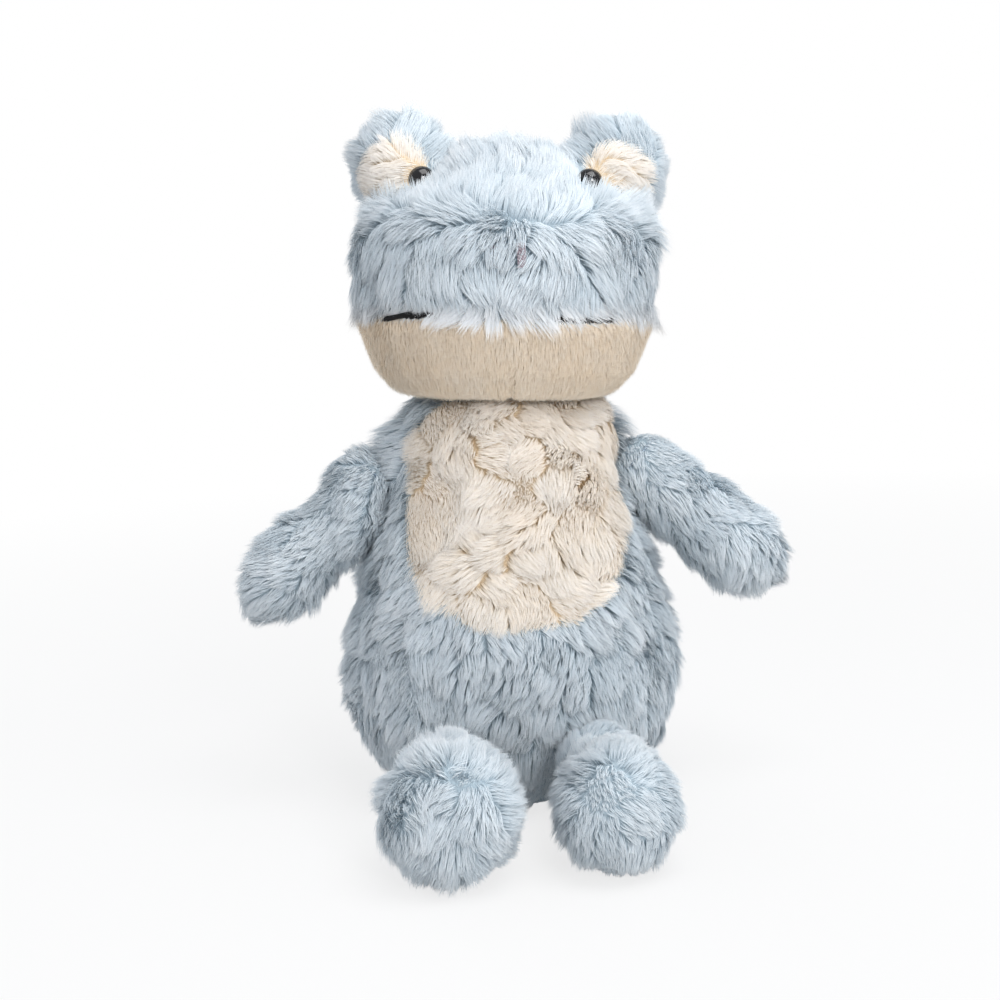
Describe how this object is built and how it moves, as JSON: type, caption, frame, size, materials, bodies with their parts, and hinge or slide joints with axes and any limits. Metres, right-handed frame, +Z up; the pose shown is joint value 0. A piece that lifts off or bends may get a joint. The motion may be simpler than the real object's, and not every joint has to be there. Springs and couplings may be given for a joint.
{
  "type": "plush frog",
  "caption": "Sitting plush frog with fur covers over stuffing, raised eye bumps, a wide muzzle, and a sewn neck, shoulders and hips that bend.",
  "frame": {"origin": "middle of the flat seat", "axes": "+Z up; the frog faces -Y, and +X is towards its own left side"},
  "size_m": [0.1914, 0.1606, 0.2354],
  "materials": {
    "plush_blue": "long soft pile, blue grey with pale tips, combed into clumps",
    "plush_cream": "shorter soft pile, cream",
    "stuffing": "white polyester fibre",
    "pellets": "grey cloth bag of plastic pellets",
    "thread": "sewing thread, blue grey",
    "mouth_thread": "black embroidery thread",
    "nose_thread": "taupe embroidery thread",
    "eye_black": "polished black",
    "washer": "plain white moulded"
  },
  "bodies": {
    "torso": {"body_cover": "plush_blue", "belly_panel": "plush_cream", "body_stuffing": "stuffing", "pellet_bag": "pellets", "closing_seam": "thread"},
    "neck": {"neck_seam": "thread"},
    "head": {"head_cover": "plush_blue", "jaw_panel": "plush_cream", "head_stuffing": "stuffing", "mouth_line": "mouth_thread", "nostril_left": "nose_thread", "nostril_right": "nose_thread", "eye_bump_cover_left": "plush_blue", "eye_bump_cover_right": "plush_blue", "eye_patch_left": "plush_cream", "eye_patch_right": "plush_cream", "eye_bump_stuffing_left": "stuffing", "eye_bump_stuffing_right": "stuffing", "eye_left": "eye_black", "eye_right": "eye_black", "eye_washer_left": "washer", "eye_washer_right": "washer"},
    "arm_left": {"arm_cover_left": "plush_blue", "arm_stuffing_left": "stuffing", "arm_seam_left": "thread"},
    "arm_right": {"arm_cover_right": "plush_blue", "arm_stuffing_right": "stuffing", "arm_seam_right": "thread"},
    "leg_left": {"leg_cover_left": "plush_blue", "leg_stuffing_left": "stuffing", "leg_seam_left": "thread"},
    "leg_right": {"leg_cover_right": "plush_blue", "leg_stuffing_right": "stuffing", "leg_seam_right": "thread"}
  },
  "joints": [
    {"name": "head_turn", "type": "hinge", "parent": "torso", "child": "neck", "pos_m": [0, 0, 0.112], "axis": [0, 0, 1], "range_deg": [-35, 35], "stiffness_Nm_per_rad": 0.2},
    {"name": "head_nod", "type": "hinge", "parent": "neck", "child": "head", "pos_m": [0, 0, 0.112], "axis": [1, 0, 0], "range_deg": [-12, 15], "stiffness_Nm_per_rad": 0.5},
    {"name": "arm_left_raise", "type": "hinge", "parent": "torso", "child": "arm_left", "pos_m": [0.0481, -0.002, 0.111], "axis": [0, -1, 0], "range_deg": [-4, 80], "stiffness_Nm_per_rad": 0.2},
    {"name": "arm_right_raise", "type": "hinge", "parent": "torso", "child": "arm_right", "pos_m": [-0.0481, -0.002, 0.111], "axis": [0, 1, 0], "range_deg": [-4, 80], "stiffness_Nm_per_rad": 0.2},
    {"name": "leg_left_lift", "type": "hinge", "parent": "torso", "child": "leg_left", "pos_m": [0.024, -0.04655, 0.0218], "axis": [-1, 0, 0], "range_deg": [-60, 30], "stiffness_Nm_per_rad": 0.2},
    {"name": "leg_right_lift", "type": "hinge", "parent": "torso", "child": "leg_right", "pos_m": [-0.024, -0.04655, 0.0218], "axis": [-1, 0, 0], "range_deg": [-60, 30], "stiffness_Nm_per_rad": 0.2}
  ]
}
